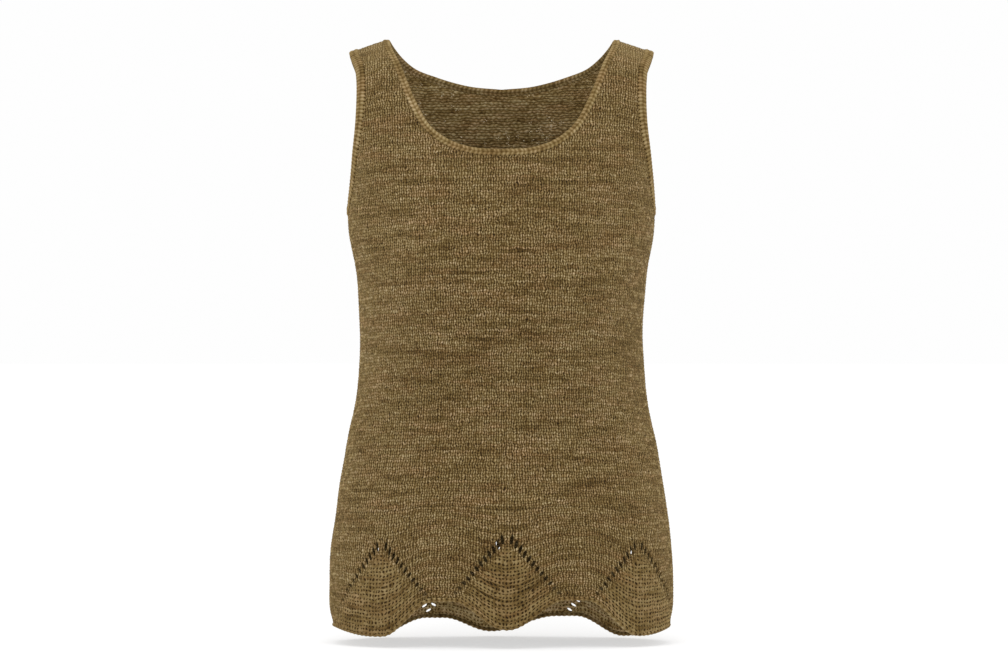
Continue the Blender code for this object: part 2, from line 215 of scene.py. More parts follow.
# side, across, down, length, width, depth, lean from upright in degrees
folds = [
    (front, 0.150, 0.215, 0.070, 0.026, 0.0030, 38.0),
    (front, -0.152, 0.220, 0.078, 0.026, 0.0034, -36.0),
    (front, 0.118, 0.185, 0.055, 0.024, 0.0018, 24.0),
    (front, -0.122, 0.180, 0.050, 0.024, 0.0020, -22.0),
    (back, 0.155, 0.225, 0.070, 0.028, 0.0028, 34.0),
    (back, -0.150, 0.215, 0.065, 0.028, 0.0030, -38.0),
    (front, 0.142, 0.190, 0.030, 0.040, -0.0050, 0.0),
    (front, -0.142, 0.188, 0.030, 0.040, -0.0050, 0.0),
    (front, 0.128, 0.262, 0.030, 0.042, 0.0034, 0.0),
    (front, -0.128, 0.260, 0.030, 0.044, 0.0036, 0.0),
    (back, 0.060, 0.430, 0.030, 0.120, 0.0030, 4.0),
    (back, -0.080, 0.395, 0.026, 0.100, 0.0024, -6.0),
]

# the slight unevenness of hand-knitted cloth: height, then waves per metre along x, y and z, and phase
ripples = [
    (0.00050, 3.1, 1.0, 5.3, 0.4),
    (0.00040, -5.7, 2.0, 8.9, 2.1),
    (0.00030, 9.3, -3.0, 13.7, 4.0),
]

# at the foot of each side seam the hem curls in
hemCorner = {
    "down": 0.697,
    "height": 0.017,
    "width": 0.024,
    "depth": 0.0080,
}


def onCloth(side, across, down, height):
    # places on the cloth, moved out by height
    place, out = onForm(side, across, down)
    toSeam = (halfLength(side, down) - np.abs(across)) / hemCorner["width"]
    above = np.maximum(hemCorner["down"] - down, 0) / hemCorner["height"]
    lift = height - hemCorner["depth"] * np.exp(-(toSeam ** 2) - above ** 2)
    for foldSide, foldAcross, foldDown, length, width, depth, lean in folds:
        if foldSide == side:
            right, below = across - foldAcross, down - foldDown
            off = right * cos(radians(lean)) + below * sin(radians(lean))
            along = below * cos(radians(lean)) - right * sin(radians(lean))
            lift = lift - depth * np.exp(-((off / width) ** 2) - (along / length) ** 2)
    for swell, perX, perY, perZ, phase in ripples:
        lift = lift + swell * np.sin(2 * pi * (place @ (perX, perY, perZ)) + phase)
    return place + out * lift[:, None]


# the cut, in stitches: u counts wales from the centre and v counts rows from the hem
knit = {
    "length": 0.700,  # shoulder to hem, before the scallops
    "rows": 212,
    "laceRows": 40,
    "halfWales": 40,
    "scallopReach": 0.17,  # how far up from the hem the rows still wave
    "scallopFade": 1.3,
    "thickness": 0.0020,
    "seamLap": 0.0004,  # each panel runs on by this at its seams, so that they are closed
    "linesPerWale": 4,
    "insideStep": 2,  # wales and rows to a cell of the body's plain inner face
    "insideRelief": 0.5,  # how much of the stitches shows on the inner face of the lace
}
rowHeight = knit["length"] / knit["rows"]

neckRows = {
    front: [
        (0.1298, 0.000), (0.1284, 0.020), (0.1238, 0.042), (0.1160, 0.068), (0.1075, 0.094),
        (0.0985, 0.118), (0.0825, 0.147), (0.0560, 0.168), (0.0300, 0.1765), (0.0000, 0.1785),
    ],
    back: [
        (0.1298, 0.000), (0.1278, 0.012), (0.1225, 0.028), (0.1140, 0.044),
        (0.1010, 0.0590), (0.0745, 0.0725), (0.0380, 0.0840), (0.0000, 0.0880),
    ],
}
armholeRows = {
    front: [
        (0.1605, 0.000), (0.1590, 0.020), (0.1528, 0.055), (0.1515, 0.090),
        (0.1560, 0.130), (0.1682, 0.168), (0.1815, 0.198), (0.1980, 0.222),
    ],
    back: [
        (0.1605, 0.000), (0.1590, 0.020), (0.1530, 0.055), (0.1515, 0.090),
        (0.1550, 0.130), (0.1635, 0.168), (0.1750, 0.198), (0.1930, 0.222),
    ],
}
underarm = {"flat": 0.017, "dip": 0.0020}
openings = {
    "step": 0.002,  # of the outline that cells are taken out by
    "clear": 0.05,  # how far that outline runs on above and beyond the cloth
    "pastMiddle": 0.001,
    "fineStep": 0.0004,  # of the seam line that the cut edge is moved to
    "weldUnder": 0.0004,
    "insideClear": 0.0025,  # between the cut edge and the cells of the inner face
}
hem = {
    "sideSeamDown": 0.690,
    "flatShare": 0.14,  # the level part of each arch
    front: [(-0.134, 0.7025), (-0.064, 0.6650), (0.006, 0.6960), (0.081, 0.6635), (0.156, 0.7015)],
    back: [(-0.148, 0.7005), (-0.074, 0.6790), (-0.012, 0.6940), (0.074, 0.6770), (0.142, 0.6995)],
}


def seamLine(rows, step):
    points = np.array(rows)
    lengths = running(np.linalg.norm(np.diff(points, axis=0), axis=1))
    stops = np.linspace(0.0, lengths[-1], max(2, round(lengths[-1] / step)) + 1)
    return np.stack([smoothCurve(lengths, points[:, i], stops) for i in range(2)], axis=1)


def neckLine(side, step):
    return seamLine(neckRows[side], step)


def armholeLine(side, step):
    seam = float(halfLength(side, form["underarmDown"]))
    before = (seam - underarm["flat"], form["underarmDown"] - underarm["dip"])
    return seamLine(armholeRows[side] + [before, (seam, form["underarmDown"])], step)


def hemDown(side, across):
    seam = float(halfLength(side, hem["sideSeamDown"]))
    rows = [(-seam, hem["sideSeamDown"])] + hem[side] + [(seam, hem["sideSeamDown"])]
    xs, downs = np.array(rows).T
    i = np.clip(np.searchsorted(xs, across) - 1, 0, len(xs) - 2)
    share = np.clip((across - xs[i]) / (xs[i + 1] - xs[i]), 0, 1)
    curved = 1 - hem["flatShare"]
    toArch = np.minimum(1, share / curved)
    fromArch = np.maximum(0, (share - hem["flatShare"]) / curved)
    share = np.where(downs[i] > downs[i + 1], toArch, fromArch)
    return downs[i] + (downs[i + 1] - downs[i]) * (1 - np.cos(pi * share)) / 2


def cutPlace(side, u, v):
    # stitches to (across, down): the rows wave with the hem, and less the higher they are
    level = knit["length"] - v * rowHeight
    share = hand[side] * u / knit["halfWales"]
    across = share * halfLength(side, np.maximum(level, form["underarmDown"]))
    pull = np.clip(1 - v * rowHeight / knit["scallopReach"], 0, 1) ** knit["scallopFade"]
    down = level + (hemDown(side, across) - knit["length"]) * pull
    across = share * (halfLength(side, np.maximum(down, form["underarmDown"])) + knit["seamLap"])
    return across, np.maximum(down, -knit["seamLap"])


def inOutline(points, outline):
    inside = np.zeros(len(points), bool)
    for (x1, y1), (x2, y2) in zip(outline, np.roll(outline, -1, axis=0)):
        if y1 != y2:
            spans = (y1 > points[:, 1]) != (y2 > points[:, 1])
            inside ^= spans & (points[:, 0] < x1 + (points[:, 1] - y1) / (y2 - y1) * (x2 - x1))
    return inside


def inOpening(side, across, down):
    # inside the neck, or outside the armhole
    points = np.stack([np.abs(across), down], axis=1)
    neck, arm = neckLine(side, openings["step"]), armholeLine(side, openings["step"])
    above, beyond, middle = -openings["clear"], arm[-1][0] + openings["clear"], -openings["pastMiddle"]
    neckOutline = np.concatenate([neck, [(middle, neck[-1][1]), (middle, above), (neck[0][0], above)]])
    armOutline = np.concatenate([arm, [(beyond, arm[-1][1]), (beyond, above), (arm[0][0], above)]])
    return inOutline(points, neckOutline) | inOutline(points, armOutline)


stitchLook = {
    "vFoot": 0.19,  # how far each leg of the V stands from its middle, in wales, at its foot
    "vSpread": 0.12,  # and how much further at its top
    "legWidth": 0.175,
    "crest": 0.00045,
    "valley": -0.00045,
    "footShare": 0.42,  # how high the foot of a leg stands, against its top
    "uneven": 0.55,  # how much lower one stitch lies than another
    "lineAt": (0.08, 0.5, 0.92),  # where a row of stitches is given points
    "bumpWales": 0.66,  # width and height of a purl bump, in wales and rows
    "bumpRows": 1.25,
    "bumpBase": 0.70,  # purl bumps meet in all but small pits
    "bumpSoft": 0.50,
    "drawBy": (12.9898, 78.233, 43758.5453),  # so that stitches near each other draw apart
}

lace = {
    "eyeletsASide": {front: 12, back: 14},
    "chevronHeight": 0.097,  # from a tip up to the point of its chevron
    "firstAcross": 0.0052,
    "stepAcross": 0.0046,
    "stepDown": 0.0052,
    "width": 0.0032,
    "longest": 0.0092,
    "shortest": 0.0046,
    # how far the slits are pulled long and wide, at the point and by the arches
    "pulledLong": {front: (1.20, 1.00), back: (0.80, 1.45)},
    "pulledWide": {front: (1.20, 1.00), back: (0.72, 0.74)},
    "lean": (8.0, 62.0),  # degrees from upright, at the point and by the arches
    "leastReach": 0.3,  # a rim point nearer to the middle of its slit isn't moved out in full
    "spineRise": 0.0010,
    "spineWidth": 0.0036,
    "diamondRise": 0.0004,
    "diamondMargin": 0.006,
    "diamondFade": 0.004,
    "strandRise": 0.0006,  # of the strands between the slits
    "strandAt": 1.5,
    "strandWidth": 0.35,
}


def legSpread(v):
    return stitchLook["vFoot"] + stitchLook["vSpread"] * (v - np.floor(v))


def eyelets(side):
    # middle, direction along the slit, half length, half width
    found = []
    for tipAcross, tipDown in hem[side][::2]:
        for way in (-1, 1):
            for k in range(lace["eyeletsASide"][side]):
                share = k / (lace["eyeletsASide"][side] - 1)
                middle = (
                    tipAcross + way * (lace["firstAcross"] + lace["stepAcross"] * k),
                    tipDown - lace["chevronHeight"] + lace["stepDown"] * k,
                )
                lean = way * radians(lace["lean"][0] + (lace["lean"][1] - lace["lean"][0]) * share)
                length = lace["longest"] + (lace["shortest"] - lace["longest"]) * share
                length *= np.interp(share, (0, 1), lace["pulledLong"][side])
                width = lace["width"] * np.interp(share, (0, 1), lace["pulledWide"][side])
                along = np.array([sin(lean), -cos(lean)])
                found.append((np.array(middle), along, length / 2, width / 2))
    return found


def eyeletReach(eyelet, across, down):
    # 1 on the edge of the slit
    middle, along, halfLong, halfWide = eyelet
    right, below = across - middle[0], down - middle[1]
    lengthwise = (right * along[0] + below * along[1]) / halfLong
    sideways = (right * -along[1] + below * along[0]) / halfWide
    return np.sqrt(lengthwise ** 2 + sideways ** 2)


def stitchDraw(u, v):
    # a fixed number from 0 to 1 for each leg of each stitch
    byLeg, byRow, spread = stitchLook["drawBy"]
    draw = np.sin(np.floor(2 * u) * byLeg + np.floor(v) * byRow) * spread
    return draw - np.floor(draw)


def relief(side, u, v, across, down):
    # height of the outer face, and how much of it shows purl bumps
    s = u - np.floor(u)
    off = (np.abs(s - 0.5) - legSpread(v)) / stitchLook["legWidth"]
    foot = stitchLook["footShare"]
    leg = np.clip(1 - off ** 2, 0, 1) * (foot + (1 - foot) * (v - np.floor(v)))
    leg = leg * (1 - stitchLook["uneven"] * stitchDraw(u, v))
    waleWave = np.cos(2 * pi * u / stitchLook["bumpWales"])
    rowWave = np.cos(2 * pi * v / stitchLook["bumpRows"])
    bumps = (waleWave + rowWave) / 2
    bumps = np.clip((bumps + stitchLook["bumpBase"]) / stitchLook["bumpSoft"], 0, 1)
    purl = np.zeros(len(u))
    raised = np.zeros(len(u))
    for tipAcross, tipDown in hem[side][::2]:
        aboveTip = tipDown - down
        off = np.abs(across - tipAcross)
        slope = lace["stepAcross"] / lace["stepDown"]
        inside = (lace["chevronHeight"] - aboveTip) * slope - lace["diamondMargin"] - off
        share = np.clip(inside / lace["diamondFade"] + 0.5, 0, 1) * (v < knit["laceRows"])
        purl = np.maximum(purl, share)
        spine = np.exp(-((off / lace["spineWidth"]) ** 2))
        raised = np.maximum(raised, share * (lace["diamondRise"] + spine * lace["spineRise"]))
    for slit in eyelets(side):
        past = eyeletReach(slit, across, down) - lace["strandAt"]
        raised = np.maximum(raised, lace["strandRise"] * np.exp(-((past / lace["strandWidth"]) ** 2)))
    pattern = leg * (1 - purl) + bumps * purl
    return stitchLook["valley"] + (stitchLook["crest"] - stitchLook["valley"]) * pattern + raised, purl


def waleLines(perWale):
    return np.arange(2 * knit["halfWales"] * perWale + 1) / perWale - knit["halfWales"]


def unitGrid(bm, columns, rows, uvs):
    # the vertices of a grid, and how far across and up it each one lies, from 0 to 1
    made = bmesh.ops.create_grid(bm, x_segments=columns, y_segments=rows, size=0.5, calc_uvs=uvs)
    return made["verts"], np.array([vert.co[:2] for vert in made["verts"]]) + 0.5


def rowLines(first, last, spots):
    lines = np.concatenate([k + np.array(spots) for k in range(first, last)])
    return np.concatenate([[first], lines[1:], [last]])


def layGrid(bm, side, stitch, us, vs, layer):
    made, grid = unitGrid(bm, len(us) - 1, len(vs) - 1, False)
    u = us[np.rint(grid[:, 0] * (len(us) - 1)).astype(int)]
    v = vs[np.rint(grid[:, 1] * (len(vs) - 1)).astype(int)]
    # the quarter lines of a wale are the legs of its V, and lean apart
    s = u - np.floor(u)
    u = np.where(s == 0.25, u + 0.25 - legSpread(v), u)
    u = np.where(s == 0.75, u - 0.25 + legSpread(v), u)
    across, down = cutPlace(side, u, v)
    for vert, a, b, x, y in zip(made, u, v, across * hand[side], -down):
        vert[stitch] = (a, b, layer)
        vert.co = (x, y, layer)
    return made


def openEdges(bm):
    return [edge for edge in bm.edges if edge.is_boundary]


def flatPlaces(verts):
    return np.array([vert.co[:2] for vert in verts])


def nearest(points, targets):
    # index of the closest target to each point, and its distance
    best = np.array([np.argmin(((targets - p) ** 2).sum(axis=1)) for p in points])
    return best, np.linalg.norm(targets[best] - points, axis=1)


def seamTargets(side):
    targets = []
    for lineOf in (neckLine, armholeLine):
        line = lineOf(side, openings["fineStep"])
        targets += [line * (1, -1), line * (-1, -1)]
    return np.concatenate(targets)


def cutOpenings(bm, side):
    centres = np.array([face.calc_center_median()[:2] for face in bm.faces])
    gone = inOpening(side, centres[:, 0], -centres[:, 1])
    bmesh.ops.delete(bm, geom=[f for f, out in zip(list(bm.faces), gone) if out], context="FACES")


def snapToSeams(bm, side, stitch, first):
    edgeVerts = list({v for e in openEdges(bm) for v in e.verts})
    edgeVerts.sort(key=lambda vert: tuple(vert.co))
    moved = [
        vert for vert in edgeVerts
        if abs(vert[stitch][0]) < knit["halfWales"] and first < vert[stitch][1] < knit["rows"]
    ]
    targets = seamTargets(side)
    best, _ = nearest(flatPlaces(moved), targets)
    for vert, target in zip(moved, targets[best]):
        vert.co.x, vert.co.y = target
    bmesh.ops.remove_doubles(bm, verts=edgeVerts, dist=openings["weldUnder"])


def meshFrom(name, bm):
    mesh = bpy.data.meshes.new(name)
    bm.to_mesh(mesh)
    bm.free()
    return mesh


def meshOf(name, bm, side, innerRelief):
    # lays the flat piece on the form and gives it its stitches
    mesh = meshFrom(name, bm)
    flat = np.zeros(len(mesh.vertices) * 3)
    mesh.vertices.foreach_get("co", flat)
    flat = flat.reshape(-1, 3)
    stitches = np.zeros(len(flat) * 3)
    mesh.attributes["stitch"].data.foreach_get("vector", stitches)
    stitches = stitches.reshape(-1, 3)
    across, down = flat[:, 0] * hand[side], -flat[:, 1]
    height, purl = relief(side, stitches[:, 0], stitches[:, 1], across, down)
    inner = stitches[:, 2] < -0.5
    height = np.where(inner, height * innerRelief - knit["thickness"], height)
    places = onCloth(side, across, down, height)
    mesh.vertices.foreach_set("co", places.ravel())
    mesh.attributes.remove(mesh.attributes["stitch"])
    # 0 is plain, 1 is purl and 2 is the wrong side
    share = mesh.attributes.new("purl", "FLOAT", "POINT")
    share.data.foreach_set("value", np.where(inner, 2.0, purl).astype(np.float32))
    corners = np.zeros(len(mesh.loops), int)
    mesh.loops.foreach_get("vertex_index", corners)
    uv = mesh.uv_layers.new(name="stitchMap")
    uv.data.foreach_set("uv", stitches[corners, :2].astype(np.float32).ravel())
    mesh.shade_smooth()
    mesh.update()
    return mesh


def cutSize(bm):
    # width, length and area of a flat piece
    corners = flatPlaces(bm.verts)
    width, length = np.ptp(corners, axis=0)
    return float(width), float(length), sum(face.calc_area() for face in bm.faces)


def declareCut(piece, cut):
    width, length, area = cut
    print(f"{piece.name}: cut {width:.3f} by {length:.3f} m, {area:.4f} square metres")


def addPiece(mesh, material):
    piece = placed(mesh.name, mesh)
    mesh.materials.append(material)
    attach(piece, "root")
    triangles = sum(len(p.vertices) - 2 for p in mesh.polygons)
    print(f"{mesh.name}: {triangles} triangles")
    return piece


def bodyPanel(name, side, material):
    first, last = knit["laceRows"], knit["rows"]
    bm = bmesh.new()
    stitch = bm.verts.layers.float_vector.new("stitch")
    rows = rowLines(first, last, stitchLook["lineAt"][::2])
    layGrid(bm, side, stitch, waleLines(knit["linesPerWale"]), rows, 0)
    cutOpenings(bm, side)
    snapToSeams(bm, side, stitch, first)
    cut = cutSize(bm)
    rim = bmesh.ops.extrude_edge_only(bm, edges=openEdges(bm))["geom"]
    rimVerts = [g for g in rim if isinstance(g, bmesh.types.BMVert)]
    for vert in rimVerts:
        vert.co.z = -1
        vert[stitch] = (vert[stitch][0], vert[stitch][1], -1)
    # the plain inner face: a coarse grid, joined to the rim by a strip of triangles
    step = knit["insideStep"]
    inside = layGrid(bm, side, stitch, waleLines(1)[::step], np.arange(first, last + 1, step), -1)
    places = flatPlaces(inside)
    _, clearance = nearest(places, flatPlaces(rimVerts))
    gone = inOpening(side, places[:, 0], -places[:, 1]) | (clearance < openings["insideClear"])
    bmesh.ops.delete(bm, geom=[vert for vert, out in zip(inside, gone) if out], context="VERTS")
    wires = [e for e in bm.edges if e.is_wire]
    bmesh.ops.delete(bm, geom=wires, context="EDGES")
    loose = [v for v in bm.verts if not v.link_edges]
    bmesh.ops.delete(bm, geom=loose, context="VERTS")
    bmesh.ops.triangle_fill(bm, edges=openEdges(bm), use_beauty=True, normal=(0, 0, 1))
    bmesh.ops.recalc_face_normals(bm, faces=bm.faces)
    mesh = meshOf(name, bm, side, 0)
    piece = addPiece(mesh, material)
    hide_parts(side + "_panel")
    return piece, cut


def lacePanel(name, side, material):
    bm = bmesh.new()
    stitch = bm.verts.layers.float_vector.new("stitch")
    rows = rowLines(0, knit["laceRows"], stitchLook["lineAt"])
    layGrid(bm, side, stitch, waleLines(knit["linesPerWale"]), rows, -1)
    bm.faces.ensure_lookup_table()
    centres = np.array([face.calc_center_median()[:2] for face in bm.faces])
    across, down = centres[:, 0] * hand[side], -centres[:, 1]
    slits = eyelets(side)
    owner = np.full(len(centres), -1)
    for i, slit in enumerate(slits):
        owner[eyeletReach(slit, across, down) < 1] = i
    rims = {}
    for face, i in zip(list(bm.faces), owner):
        if i >= 0:
            for vert in face.verts:
                rims.setdefault(vert, i)
    bmesh.ops.delete(bm, geom=[f for f, i in zip(list(bm.faces), owner) if i >= 0], context="FACES")
    for vert, i in rims.items():
        if vert.is_valid:
            middle = slits[i][0]
            x, y = vert.co.x * hand[side], -vert.co.y
            reach = float(eyeletReach(slits[i], x, y))
            x, y = middle + (np.array([x, y]) - middle) / max(reach, lace["leastReach"])
            vert.co.x, vert.co.y = x * hand[side], -y
    cut = cutSize(bm)
    raised = bmesh.ops.extrude_face_region(bm, geom=bm.faces[:])["geom"]
    for vert in raised:
        if isinstance(vert, bmesh.types.BMVert):
            vert.co.z = 0
            vert[stitch] = (vert[stitch][0], vert[stitch][1], 0)
    mesh = meshOf(name, bm, side, knit["insideRelief"])
    piece = addPiece(mesh, material)
    return piece, cut


def sewnLoop(lineOf, opensRight, step):
    # once round an opening: the side, place and way into the opening at each station
    turn = 1 if opensRight else -1
    halves = {}
    for side in (front, back):
        right = lineOf(side, step)
        if opensRight:
            line = right
        else:
            line = np.concatenate([right, right[-2::-1] * (-1, 1)])
        ways = np.gradient(line, axis=0)
        ways[0] *= (0, 1)
        ways[-1] *= (1, 0) if opensRight else (0, 1)
        ways = unit(ways)
        halves[side] = line, np.stack([ways[:, 1], -ways[:, 0]], axis=1) * turn
    sides = np.array([front] * len(halves[front][0]) + [back] * (len(halves[back][0]) - 2))
    places = np.concatenate([halves[front][0], halves[back][0][-2:0:-1]])
    ways = np.concatenate([halves[front][1], halves[back][1][-2:0:-1]])
    return sides, places, ways


def onEitherSide(sides, across, down, height):
    places = np.zeros((len(sides), 3))
    for side in (front, back):
        here = sides == side
        places[here] = onCloth(side, across[here], down[here], height[here])
    return places


def roundLoop(places):
    # how far round a closed line each place lies, from 0 to 1, and the line's length
    lengths = np.linalg.norm(np.roll(places, -1, axis=0) - places, axis=1)
    return running(lengths)[:-1] / lengths.sum(), float(lengths.sum())


def ringPiece(name, stations, around, stitches, laneOf, placeOf, material):
    # a closed tube: placeOf gives the place for a station and a share of the way round the tube
    bm = bmesh.new()
    bm.loops.layers.uv.new("stitchMap")
    made, grid = unitGrid(bm, stations, around, True)
    station = np.rint(grid[:, 0] * stations).astype(int) % stations
    turn = np.rint(grid[:, 1] * around).astype(int) % around / around
    for vert, place in zip(made, placeOf(station, turn)):
        vert.co = place
    bmesh.ops.remove_doubles(bm, verts=bm.verts[:], dist=1e-6)  # the grid's ends meet
    bmesh.ops.recalc_face_normals(bm, faces=bm.faces)
    mesh = meshFrom(name, bm)
    uv = np.zeros(len(mesh.loops) * 2, np.float32)
    mesh.uv_layers[0].data.foreach_get("uv", uv)
    share, turn = uv.reshape(-1, 2).T
    uv = np.stack([share * stitches, laneOf(turn)], axis=1)
    mesh.uv_layers[0].data.foreach_set("uv", uv.astype(np.float32).ravel())
    mesh.shade_smooth()
    piece = addPiece(mesh, material)
    return piece


bandLook = {
    "stationStep": 0.0013,
    "stitchLength": 0.0050,
    "around": 20,
    "overlap": 0.0014,  # how far the band lies over the panel's edge
    "middleRise": -0.0008,
    "halfThickness": 0.0016,
    "squareness": 2.6,
    "ridges": 2,
    "ridgeRise": 0.00045,
    "stitchRise": 0.00030,
    "slant": 0.35,
    "widths": {"neck": 0.0070, "arm": 0.0100},
}


def bandPiece(name, lineOf, opensRight, mirror, width, material):
    sides, places, ways = sewnLoop(lineOf, opensRight, bandLook["stationStep"])
    places, ways = places * (mirror, 1), ways * (mirror, 1)
    along, length = roundLoop(places)
    stitches = round(length / bandLook["stitchLength"])
    halfWidth = (width + bandLook["overlap"]) / 2

    def squared(part):
        return np.sign(part) * np.abs(part) ** (2 / bandLook["squareness"])

    def laneOf(turn):
        # counted from the free edge
        return (1 - squared(np.cos(2 * pi * turn))) * bandLook["ridges"] / 2

    def placeOf(station, turn):
        out, up = squared(np.cos(2 * pi * turn)), squared(np.sin(2 * pi * turn))
        reach = halfWidth - bandLook["overlap"] + out * halfWidth
        lane = laneOf(turn)
        ridge = np.abs(np.sin(pi * lane)) * bandLook["ridgeRise"]
        way = np.where(np.floor(lane) % 2 == 0, 1, -1)
        lean = bandLook["slant"] * way * (lane - np.floor(lane) - 0.5)
        stitch = np.cos(2 * pi * (along[station] * stitches + lean)) * bandLook["stitchRise"]
        height = bandLook["middleRise"] + up * (bandLook["halfThickness"] + ridge + stitch)
        across = places[station, 0] + ways[station, 0] * reach
        down = places[station, 1] + ways[station, 1] * reach
        return onEitherSide(sides[station], across, down, height)

    piece = ringPiece(name, len(sides), bandLook["around"], stitches, laneOf, placeOf, material)
    return piece, length


hemEdge = {
    "radius": 0.0022,
    "stationStep": 0.0012,
    "around": 8,
    "strandLength": 0.0058,
    "twistRise": 0.00035,
    "drop": -0.0016,  # how far below the last row the cord hangs
}


def hemPiece(name, material):
    # the cast-on edge: a two-strand cord all along the scallops, front and back
    halves = {}
    for side in (front, back):
        seam = float(halfLength(side, hem["sideSeamDown"]))
        across = np.linspace(-seam, seam, round(2 * seam / hemEdge["stationStep"]) + 1)
        halves[side] = np.stack([across, hemDown(side, across) + hemEdge["drop"]], axis=1)
    places = np.concatenate([halves[front], halves[back][-2:0:-1]])
    sides = np.array([front] * len(halves[front]) + [back] * (len(halves[back]) - 2))
    outside = np.zeros(len(places))
    middle = onEitherSide(sides, *places.T, outside - knit["thickness"] / 2)
    out = unit(onEitherSide(sides, *places.T, outside) - middle)
    along = unit(np.roll(middle, -1, axis=0) - np.roll(middle, 1, axis=0))
    below = np.cross(along, out)
    shares, length = roundLoop(middle)
    strands = round(length / hemEdge["strandLength"])
    phase = shares * strands

    def placeOf(station, turn):
        angle = 2 * pi * turn
        radius = hemEdge["radius"] + hemEdge["twistRise"] * np.cos(2 * angle + 2 * pi * phase[station])
        return middle[station] + radius[:, None] * (
            np.cos(angle)[:, None] * out[station] + np.sin(angle)[:, None] * below[station]
        )

    def laneOf(turn):
        return 2 * turn

    return ringPiece(name, len(sides), hemEdge["around"], strands, laneOf, placeOf, material)


def fed(tree, node, values):
    for socket, value in zip(node.inputs, values):
        if isinstance(value, bpy.types.NodeSocket):
            tree.links.new(value, socket)
        else:
            socket.default_value = value
    return node.outputs[0]


def calc(tree, operation, *values, clamp=False):
    node = tree.nodes.new("ShaderNodeMath")
    node.operation = operation
    node.use_clamp = clamp
    return fed(tree, node, values)


def times(tree, first, second):
    return calc(tree, "MULTIPLY", first, second)


def mixed(tree, share, first, second):
    # first + (second - first) * share
    return calc(tree, "MULTIPLY_ADD", calc(tree, "SUBTRACT", second, first), share, first)


def vectorOf(tree, *values):
    return fed(tree, tree.nodes.new("ShaderNodeCombineXYZ"), values)


def setInputs(node, values):
    for name, value in values.items():
        node.inputs[name].default_value = value


def noise(tree, vector, detail, low, high):
    node = tree.nodes.new("ShaderNodeTexNoise")
    setInputs(node, {"Scale": 1.0, "Detail": detail})
    tree.links.new(vector, node.inputs["Vector"])
    return stretch(tree, node.outputs["Fac"], low, high)


# noises: cells to a stitch across and to one down, shift, detail, and what becomes 0 and 1
patterns = {
    "streaks": (0.125, 7.31, 0.0, 2.0, 0.28, 0.72),  # one shade of the yarn runs for 8 wales
    "bands": (0.07375, 3.77, 5.0, 1.0, 0.30, 0.70),
    "flecks": (2.6, 1.5, 9.0, 3.0, 0.25, 0.75),
    "dips": (0.2, 5.13, 21.0, 2.0, 0.25, 0.75),
    "patches": (0.11, 0.16, 33.0, 2.0, 0.30, 0.70),
    "sway": (0.7, 0.5, 3.0, 2.0, 0.0, 1.0),
    "rise": (0.5, 0.45, 8.0, 1.0, 0.0, 1.0),
}


def pattern(tree, name, u, v):
    across, down, shift, *settings = patterns[name]
    place = vectorOf(tree, times(tree, u, across), times(tree, v, down), shift)
    return noise(tree, place, *settings)


def chance(tree, *values):
    # a different number from 0 to 1 for each cell
    node = tree.nodes.new("ShaderNodeTexWhiteNoise")
    tree.links.new(vectorOf(tree, *values), node.inputs["Vector"])
    return node.outputs["Value"]


def stretch(tree, value, low, high):
    node = tree.nodes.new("ShaderNodeMapRange")
    setInputs(node, {"From Min": low, "From Max": high})
    tree.links.new(value, node.inputs["Value"])
    return node.outputs["Result"]


def ramp(tree, share, stops):
    node = tree.nodes.new("ShaderNodeValToRGB")
    made = node.color_ramp.elements
    while len(made) < len(stops):
        made.new(0.5)
    for stop, (at, colour) in zip(made, stops):
        stop.position = at
        stop.color = (*colour, 1)
    tree.links.new(share, node.inputs["Fac"])
    return node.outputs["Color"]


def tinted(tree, colour, by):
    node = tree.nodes.new("ShaderNodeVectorMath")
    tree.links.new(colour, node.inputs[0])
    if by.type == "VALUE":
        node.operation = "SCALE"
        tree.links.new(by, node.inputs["Scale"])
    else:
        node.operation = "MULTIPLY"
        tree.links.new(by, node.inputs[1])
    return node.outputs[0]


yarn = {
    "shades": [(0.15, 0.082), (0.40, 0.206), (0.62, 0.282), (0.90, 0.345)],
    # its green and blue, against its red to this power: the darker a fibre, the browner
    "green": (0.922, 1.187),
    "blue": (0.930, 1.711),
    "hues": [
        (0.10, (1.06, 0.965, 0.96)),  # reddish
        (0.40, (1.01, 0.995, 1.00)),
        (0.62, (0.97, 1.015, 0.98)),  # olive
        (0.90, (1.03, 1.005, 0.94)),  # golden
    ],
    "weights": (0.46, 0.22, 0.22, 0.10),  # of streaks, bands, flecks and clouds in the shade
    "bandRows": 2.5,
    "clouds": (11.0, 2.0, 0.30, 0.70),  # cells to a metre, detail, and what becomes 0 and 1
    "patchShare": 0.45,  # how much of the hue comes in patches of several rows
    "tonePower": 0.5,
    "roughness": 0.9,
    "specular": 0.1,
    "sheen": 0.32,
    "sheenRoughness": 0.5,
    "sheenTint": (1.0, 0.72, 0.31),
    "bumpStrength": 0.8,
}

